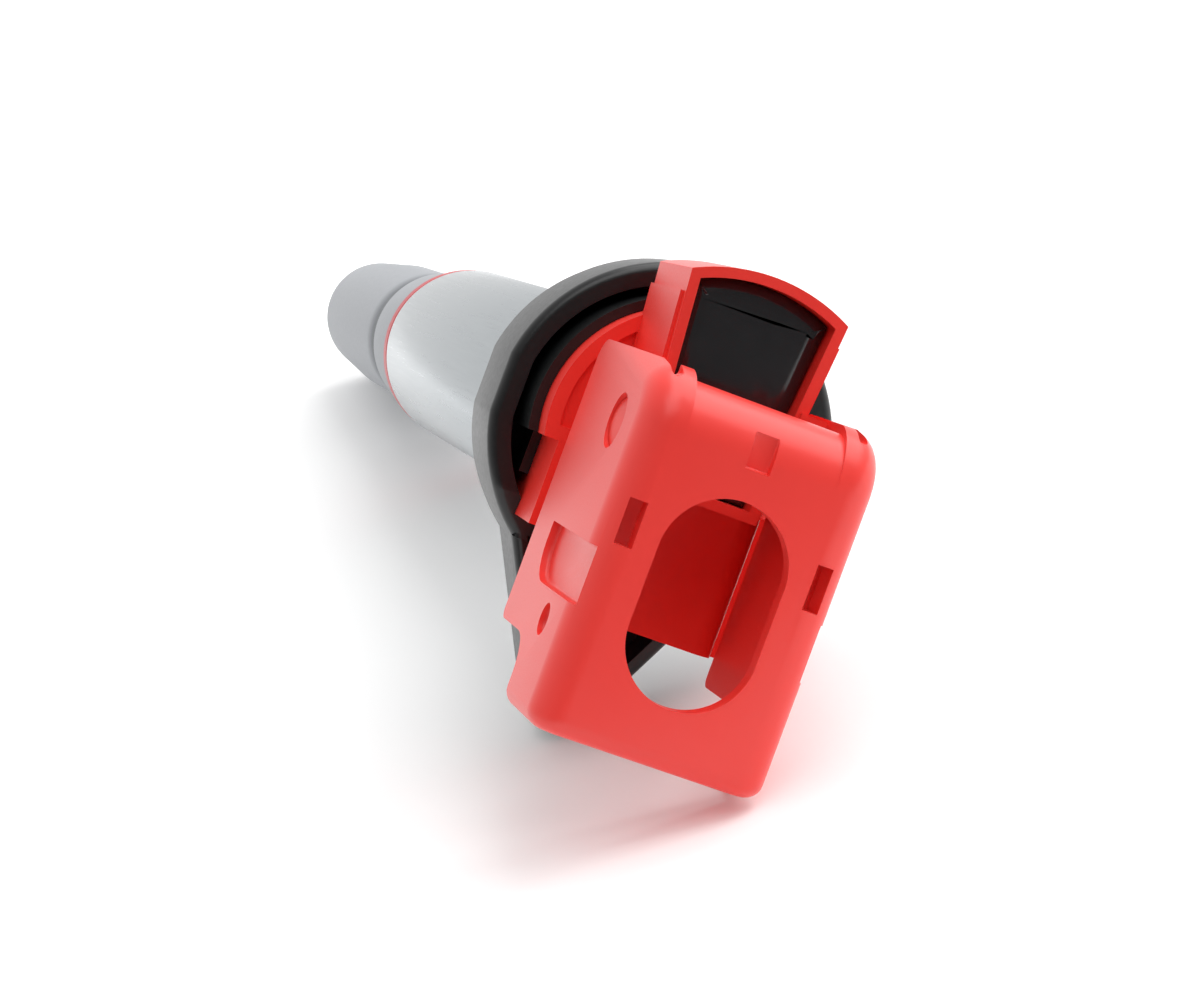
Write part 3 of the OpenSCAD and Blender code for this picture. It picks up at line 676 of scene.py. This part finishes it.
def sector(inset, low, high, back, extra=0):
    """The cup's plan as a solid: a wedge with straight sides, closed by an arc round the axis."""
    piece = rod(cup_r - inset, (0, 0, low), (0, 0, high), 160)
    wedge = block((-1, back + inset, low - 1), (1, cup_reach, high + 1))
    for end in (back + inset, cup_reach):
        widen(wedge, lambda p, d: abs(p.y - end) < 0.1, cup_half(end) - inset + extra)
    return combine(piece, wedge, "INTERSECT")


head = rod(body_r, (0, 0, body_low), (0, 0, shoulder_z), 160)
combine(head, block((-20, -20, 0), (20, round_end, 30)), "DIFFERENCE")
combine(head, block((-platform_half, platform_front, body_low), (platform_half, 0, shoulder_z)), "UNION")
combine(head, sector(0, shoulder_z - 0.5, cup_z, cup_back), "UNION")
# The cup's sides are a little thicker over the body than over its overhang
thick = sector(0.01, shoulder_z - 0.4, cup_z - 0.7, cup_back, side_step)
combine(thick, block((-20, 13.6, 0), (20, 30, 40)), "DIFFERENCE")
combine(head, thick, "UNION")
# The shoulder beside the cup is dished inside a rounded rim
dish = rod(body_r - 1.3, (0, 0, shoulder_z - 0.7), (0, 0, shoulder_z + 1), 160)
combine(dish, block((-20, -20, 0), (20, round_end + 1.4, 30)), "DIFFERENCE")
combine(dish, sector(0, shoulder_z - 5, cup_z, cup_back, side_step + 0.05), "DIFFERENCE")
combine(head, dish, "DIFFERENCE")
# The shroud round the socket, with a ledge along each side
shroud = block((-shroud_half, shroud_front, shroud_low), (shroud_half, cup_back + 0.4, shroud_high))
round_edges(shroud, lambda p, d: p.z > shroud_high - 1 and abs(d.y) > 0.9, 2.5, 8)
round_edges(shroud, lambda p, d: p.z < shroud_low + 1 and abs(d.y) > 0.9, 2.0, 3)
combine(head, shroud, "UNION")
ledges = block((-ledge_half, shroud_front + 0.01, ledge_low), (ledge_half, cup_back + 0.5, ledge_high))
combine(head, ledges, "UNION")
combine(head, rod(neck_out, (0, 0, neck_low), (0, 0, body_low + 0.3), 128), "UNION")
for side in (-1, 1):
    # A pivot post with its stud, and a buttress that stops the opened lever
    low_x, high_x = sorted((side * post_in, side * post_out))
    post = block((low_x, pivot_y - post_half, shoulder_z - 1), (high_x, pivot_y + post_half, pivot_z))
    combine(head, post, "UNION")
    post_top = rod(post_half - 0.001, (low_x, pivot_y, pivot_z), (high_x, pivot_y, pivot_z), 72)
    combine(head, post_top, "UNION")
    low_x, high_x = sorted((side * (post_in - 0.8), side * (post_out - 0.002)))
    buttress = block((low_x, pivot_y + 0.01, shoulder_z - 1.02), (high_x, stop_y, stop_z))
    combine(head, buttress, "UNION")
    stud = rod(stud_r, (side * (post_out - 0.4), pivot_y, pivot_z), (side * stud_end, pivot_y, pivot_z), 64)
    # The lever's hole snaps over the stud's end, which slopes in towards the top of the head
    low_x, high_x = sorted((side * slope_from, side * (slope_from + 4)))
    slope = block((low_x, pivot_y - slope_reach, pivot_z - slope_reach),
                  (high_x, pivot_y + slope_reach, pivot_z + slope_reach))
    for height, reach in ((-slope_reach, slope_low), (slope_reach, slope_high)):
        shift(slope, lambda p, d: abs(p.x) < 11 and abs(p.z - pivot_z - height) < 0.1,
              (side * (reach - slope_from), 0, 0))
    combine(stud, slope, "DIFFERENCE")
    combine(head, stud, "UNION")
# Hollow body, cup and neck, the socket, and the slots that the terminals pass through
cavity = rod(body_r - wall_t, (0, 0, body_low + wall_t), (0, 0, shoulder_z - wall_t), 128)
combine(cavity, block((-20, -20, 0), (20, platform_front + 2.6, 30)), "DIFFERENCE")
combine(head, cavity, "DIFFERENCE")
inside = sector(cup_wall, shoulder_z - wall_t - 0.01, cup_z + 2, cup_back)
floor = block((-20, 0, 10), (20, 20, shoulder_z + cup_floor))
combine(floor, rod(body_r - wall_t - 0.6, (0, 0, 5), (0, 0, 25), 128), "DIFFERENCE")
combine(inside, floor, "DIFFERENCE")
combine(head, inside, "DIFFERENCE")
combine(head, rod(neck_in, (0, 0, neck_low - 2), (0, 0, 5), 128), "DIFFERENCE")
socket = block((-socket_half, shroud_front - 1.4, socket_low), (socket_half, socket_end, socket_high))
combine(head, socket, "DIFFERENCE")
for count in range(4):
    across = (count - 1.5) * blade_pitch
    blade_slot = block((across - 0.8, socket_end - 1.9, blade_z - 0.37), (across + 0.8, 0, blade_z + 0.37))
    combine(head, blade_slot, "DIFFERENCE")
finish_piece(head, "head_moulding", 0.35, 3)
belongs(head, "coil", "head_housing")


def cloudy(shader, size, first, second):
    """Colour the shader with soft clouds of a size in millimetres, as the melt leaves them."""
    place = add(shader, "TexCoord")
    cloud = add(shader, "TexNoise", {"Vector": place.outputs["Object"], "Scale": 1 / (size * mm),
                                     "Detail": 2.0})
    two_tone(shader, cloud.outputs["Fac"], first, second)


# Red glass-filled polyester, half matt. The flow of the melt shows as a faint cloudiness.
red_polyester, shader = start_material("red_glass_filled_polyester")
shader.inputs["IOR"].default_value = 1.52
relief(shader, 0.25, 0.006, (0.3, 0.38))
cloudy(shader, 11.11, "e82c24", "f43d33")
put(red_polyester, head)

# ---------------------------------------------------------------- igniter
# The driver stage sits in the cup: a ceramic board on a copper spreader, with a power
# transistor, a driver chip and a capacitor soldered on it.

# White alumina board with a silvery print
alumina, shader = start_material("alumina_board")
grain = relief(shader, 0.4, 0.006, (0.5, 0.65))
two_tone(shader, grain.outputs["Fac"], "dad7cb", "efede4")
dress(alumina, "igniter_board")

# Rolled copper, bright and a little tarnished
spreader, shader = start_material("rolled_copper")
shader.inputs["Metallic"].default_value = 1.0
grain = relief(shader, 0.8, 0.008, (0.3, 0.45), (8, 1, 1))
two_tone(shader, grain.outputs["Fac"], "9c5a34", "cf8a5e")
dress(spreader, "heat_spreader")

# The capacitor's tan ceramic, as it leaves the kiln
tan_ceramic, shader = start_material("tan_capacitor_ceramic")
grain = relief(shader, 0.2, 0.008, (0.45, 0.6))
two_tone(shader, grain.outputs["Fac"], "94764a", "b0925f")
dress(tan_ceramic, "filter_capacitor")

# ---------------------------------------------------------------- potting cap
# Black resin fills the cup over the igniter. It has shrunk a little below the rim, so it
# slopes off towards its edges, and its middle is flat and glossy. It carries no mark.
potting_z = cup_z - 1.7
potting_t = 3.9
flatten = 0.45
potting = sector(cup_wall + 0.06, potting_z - potting_t / flatten, potting_z, cup_back)
round_edges(potting, lambda p, d: p.z > potting_z - 0.1, 1.9, 3)
bpy.ops.transform.resize(value=(1, 1, flatten), center_override=(0, 0, potting_z * mm))
bpy.ops.object.transform_apply(location=True, rotation=True, scale=True)
finish_piece(potting, "cast_resin_cap", 0.15, 2, 50)
belongs(potting, "coil", "potting_cap")

# Black filled epoxy that set against air: glossy, with the slightest ripple
black_resin, shader = start_material("black_potting_epoxy")
shader.inputs["IOR"].default_value = 1.55
shader.inputs["Coat Weight"].default_value = 0.3
shader.inputs["Coat Roughness"].default_value = 0.08
grain = relief(shader, 3.0, 0.01, (0.12, 0.2))
two_tone(shader, grain.outputs["Fac"], "17181a", "202224")
put(black_resin, potting)

# ---------------------------------------------------------------- head gasket
# The black rubber seal stands round the head like a tray: a tall wall with a rounded rim, a
# collar that grips the round body, a plug that fills the hole in the cover, and a tongue that
# catches water under the connector.
rim_r = 17.1
rim_half = 16.85
rim_top = 12.0
rim_low = 4.0
wall_w = 2.2
foot_inset = 0.5
trough_floor = 1.6
tongue_wall = 1.4
tongue_floor = 6
collar_top = 15.5
skirt_front = -7.5
skirt_top = 11
tongue_top = 11.0
tongue_start = -13.6
tongue_tip = -30.0
cover_plug_r = 13.4
cover_plug_drop = 8
bore_r = neck_r + 0.05


def tongue_half(y, inset=0):
    """Half the tongue's width, which shrinks towards its tip."""
    return 0.519 * (y + 33.7) - inset * 1.127


def tongue_solid(inset, back, low, high):
    """The tongue's plan as a solid, with a rounded tip."""
    tip = tongue_tip + inset
    piece = block((-1, tip, low), (1, back, high))
    for end in (tip, back):
        widen(piece, lambda p, d: abs(p.y - end) < 0.1, tongue_half(end, inset))
    return round_edges(piece, lambda p, d: p.y < tip + 0.1 and abs(d.z) > 0.9, 1.7 - inset / 2, 6)


def round_plan(inset, low, high):
    """The round part's plan as a solid, with a flat on each side."""
    piece = rod(rim_r - inset, (0, 0, low), (0, 0, high), 160)
    side = rim_half - inset
    return combine(piece, block((-side, -20, low - 1), (side, 20, high + 1)), "INTERSECT")


def body_space(clearance, low, high):
    """The space that the head's body takes, with a clearance round it."""
    piece = rod(body_r + clearance, (0, 0, low), (0, 0, high), 160)
    combine(piece, block((-20, -20, low - 1), (20, round_end - clearance, high + 1)), "DIFFERENCE")
    front = block((-platform_half - clearance, platform_front - clearance, low + 0.001),
                  (platform_half + clearance, 0, high + 0.001))
    return combine(piece, front, "UNION")


gasket = round_plan(0, rim_low, rim_top)
combine(gasket, tongue_solid(0, -10, rim_low + 0.001, rim_top - 0.5), "UNION")
combine(gasket, block((-20, -31, tongue_top), (20, tongue_start, 14)), "DIFFERENCE")
slope = block((-20, tongue_start - 0.01, tongue_top), (20, tongue_start + 4, 14))
shift(slope, lambda p, d: p.y > tongue_start + 3.9 and p.z < 12, (0, 0, rim_top - tongue_top))
combine(gasket, slope, "DIFFERENCE")
round_edges(gasket, lambda p, d: p.z > tongue_top - 0.1 and abs(d.z) < 0.5
            and not (abs(d.x) > 0.99 and p.y > tongue_tip + 1), 0.9, 6)
foot = round_plan(foot_inset, 0, rim_low + 0.5)
combine(foot, block((-20, -20, -1), (20, tongue_start, 14)), "DIFFERENCE")
combine(gasket, foot, "UNION")
# The trough inside the wall, and the shallower one in the tongue
trough = round_plan(wall_w, trough_floor, 16)
combine(trough, block((-20, -20, 0), (20, tongue_start, 20)), "DIFFERENCE")
round_edges(trough, lambda p, d: p.z < 2, 0.8, 4)
combine(gasket, trough, "DIFFERENCE")
combine(gasket, tongue_solid(tongue_wall, tongue_start + 0.5, tongue_floor, 16), "DIFFERENCE")
# The collar, the skirts and the plug
collar = rod(body_r + 1, (0, 0, trough_floor - 0.1), (0, 0, collar_top), 160)
combine(collar, block((-20, -20, 0), (20, round_end, 20)), "DIFFERENCE")
combine(gasket, collar, "UNION")
skirts = block((-platform_half - 1, skirt_front, trough_floor - 0.1),
               (platform_half + 1, round_end + 0.01, skirt_top))
combine(gasket, skirts, "UNION")
plug = rod(cover_plug_r, (0, 0, -cover_plug_drop), (0, 0, 0.5), 128)
round_edges(plug, lambda p, d: p.z < 0.1 - cover_plug_drop, 0.8, 4)
combine(gasket, plug, "UNION")
combine(gasket, body_space(0.05, 1.55, 20), "DIFFERENCE")
combine(gasket, rod(bore_r, (0, 0, -10), (0, 0, 5), 128), "DIFFERENCE")
finish_piece(gasket, "rubber_head_gasket", 0.3, 3)
belongs(gasket, "coil", "head_gasket")

# Moulded rubber, black and half matt: a smooth skin with a trace of bloom
rubber, shader = start_material("moulded_black_rubber")
shader.inputs["IOR"].default_value = 1.5
grain = relief(shader, 0.5, 0.008, (0.3, 0.36))
two_tone(shader, grain.outputs["Fac"], "0b0c0d", "141516")
put(rubber, gasket)

# ---------------------------------------------------------------- lock lever
# The flip-over lever that draws in the mating plug and locks it. It is moulded in the same
# red plastic as the head: a plate with a cheek folded down on each side, two ears behind,
# and two holes that snap over the studs of the head.
lever_low, lever_high = (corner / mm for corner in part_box("lock_lever"))
lever_half = lever_high.x
lever_top = lever_high.z
lever_t = 1.8
fold_r = 3.0
ear_y = lever_high.y
ear_roll = 5.5
roll_y = ear_y - 0.9
roll_r = 4.8
ear_in = 7.2
cheek_step_y = -20.3
skirt_z = 33.7
end_wall_y = -10
end_wall_z = 40
window_r = 6.0
window_y = -8.1
window_length = 7.1
notch_half = 1.15
slot_x = 8.9
slot_half = 0.8
groove_x = 8.95
pocket_t = 0.9
dimple_r = 1.5
dimple_y = -18
dimple_z = 37.8
lever = block(lever_low, lever_high)
# The roll behind, then the fold along each side and round the ear, then the free end
round_edges(lever, lambda p, d: p.y > ear_y - 0.1 and p.z > lever_top - 0.1, ear_roll, 14)
round_edges(lever, lambda p, d: abs(p.x) > lever_half - 0.1 and p.z > lever_top - ear_roll
            and p.y > lever_low.y + 0.1 and abs(d.x) < 0.5, fold_r, 8)
round_edges(lever, lambda p, d: p.y < lever_low.y + 0.1 and p.z > lever_low.z + 0.1, 1.6, 6)
# The cheeks are deep behind and shallow at the free end
step = block((-lever_half - 1, lever_low.y - 1, lever_low.z - 1), (lever_half + 1, cheek_step_y, skirt_z))
round_edges(step, lambda p, d: p.y > cheek_step_y - 0.1 and p.z > skirt_z - 0.1, 3.6, 8)
combine(lever, step, "DIFFERENCE")
round_edges(lever, lambda p, d: abs(d.x) > 0.9 and p.z < lever_low.z + 0.1 and p.y > 0, 2.2, 8)
round_edges(lever, lambda p, d: abs(d.x) > 0.9 and p.z < lever_low.z + 0.1 and p.y < 0, 1.0, 5)
# Between the ears, the roll is a little lower
between = block((-ear_in, roll_y - roll_r, lever_low.z - 1), (ear_in, ear_y + 1, lever_top + 1))
combine(between, rod(roll_r, (-ear_in - 1, roll_y - roll_r, lever_top - roll_r),
                     (ear_in + 1, roll_y - roll_r, lever_top - roll_r), 96), "DIFFERENCE")
below_roll = block((-ear_in - 1, 0, lever_low.z - 2), (ear_in + 1, roll_y, lever_top - roll_r))
combine(between, below_roll, "DIFFERENCE")
combine(lever, between, "DIFFERENCE")
# The inside: under the plate, then open below the end wall and below the roll
inner = lever_half - lever_t
hollow = block((-inner, lever_low.y + lever_t, lever_low.z - 1),
               (inner, roll_y - lever_t, lever_top - lever_t))
round_edges(hollow, lambda p, d: p.y > 0 and p.z > lever_top - lever_t - 0.1 and abs(d.x) > 0.9,
            roll_r - lever_t, 8)
round_edges(hollow, lambda p, d: abs(p.x) > inner - 0.1 and p.z > lever_top - lever_t - 0.1, 1.5, 5)
combine(lever, hollow, "DIFFERENCE")
front_gap = block((-inner, lever_low.y - 1, lever_low.z - 1), (inner, end_wall_y, end_wall_z))
combine(lever, front_gap, "DIFFERENCE")
back_gap = block((-inner, end_wall_y - 1, lever_low.z - 1), (inner, ear_y + 1, lever_top - roll_r))
combine(lever, back_gap, "DIFFERENCE")
# The window: a round cutter stretched along the plate
window = rod(window_r, (0, window_y, 40), (0, window_y, 50), 96)
shift(window, lambda p, d: p.y < window_y, (0, -window_length, 0))
combine(lever, window, "DIFFERENCE")
notch = block((-notch_half, 0.7, lever_top - 0.8), (notch_half, 4.1, lever_top + 1))
combine(lever, round_edges(notch, lambda p, d: p.z < lever_top, 0.25, 3), "DIFFERENCE")
for side in (-1, 1):
    # The slot over the latch hook, and the groove down the back of the ear
    slot = block((side * slot_x - slot_half, -9.2, lever_top - 3.6),
                 (side * slot_x + slot_half, -5, lever_top + 1))
    combine(lever, slot, "DIFFERENCE")
    groove = block((side * groove_x - 0.5, ear_y - 1.1, 37), (side * groove_x + 0.5, ear_y + 1, lever_top))
    combine(lever, round_edges(groove, lambda p, d: p.y < ear_y and abs(d.z) > 0.9, 0.4, 4), "DIFFERENCE")
    # The pivot hole, the shallow pocket and the dimple in the cheek
    pivot_hole = rod(stud_r + 0.08, (side * 8, pivot_y, pivot_z), (side * 13, pivot_y, pivot_z))
    combine(lever, pivot_hole, "DIFFERENCE")
    pocket = block((lever_half - pocket_t, -15.4, 28.4), (lever_half + 1, -10, 45))
    round_edges(pocket, lambda p, d: abs(d.x) > 0.9 and p.y < -15 and p.z < 29, 3.6, 6)
    round_edges(pocket, lambda p, d: p.x < lever_half - 0.8, 0.35, 3)
    dimple = rod(dimple_r, (lever_half - 0.8, dimple_y, dimple_z), (lever_half + 1, dimple_y, dimple_z), 40)
    round_edges(dimple, lambda p, d: p.x < lever_half - 0.7, 0.4, 4)
    for tool in (pocket, dimple):
        if side < 0:
            work_on(tool)
            bpy.ops.transform.resize(value=(-1, 1, 1), center_override=(0, 0, 0))
            bpy.ops.object.transform_apply(location=True, rotation=True, scale=True)
            bpy.ops.object.mode_set(mode="EDIT")
            bpy.ops.mesh.select_all(action="SELECT")
            bpy.ops.mesh.normals_make_consistent(inside=False)
            bpy.ops.object.mode_set(mode="OBJECT")
        combine(lever, tool, "DIFFERENCE")
finish_piece(lever, "lock_lever_moulding", 0.3)
belongs(lever, "lever", "lock_lever")

# The same polyester as the head, from a mould with a finer, more even grain
lever_polyester, shader = start_material("red_lever_polyester")
shader.inputs["IOR"].default_value = 1.5
relief(shader, 0.2, 0.005, (0.3, 0.36))
cloudy(shader, 16.67, "ec3730", "f2413a")
put(lever_polyester, lever)

# ---------------------------------------------------------------- size
size = {"cad": cad_box, "visual": [list(corner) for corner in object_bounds()]}
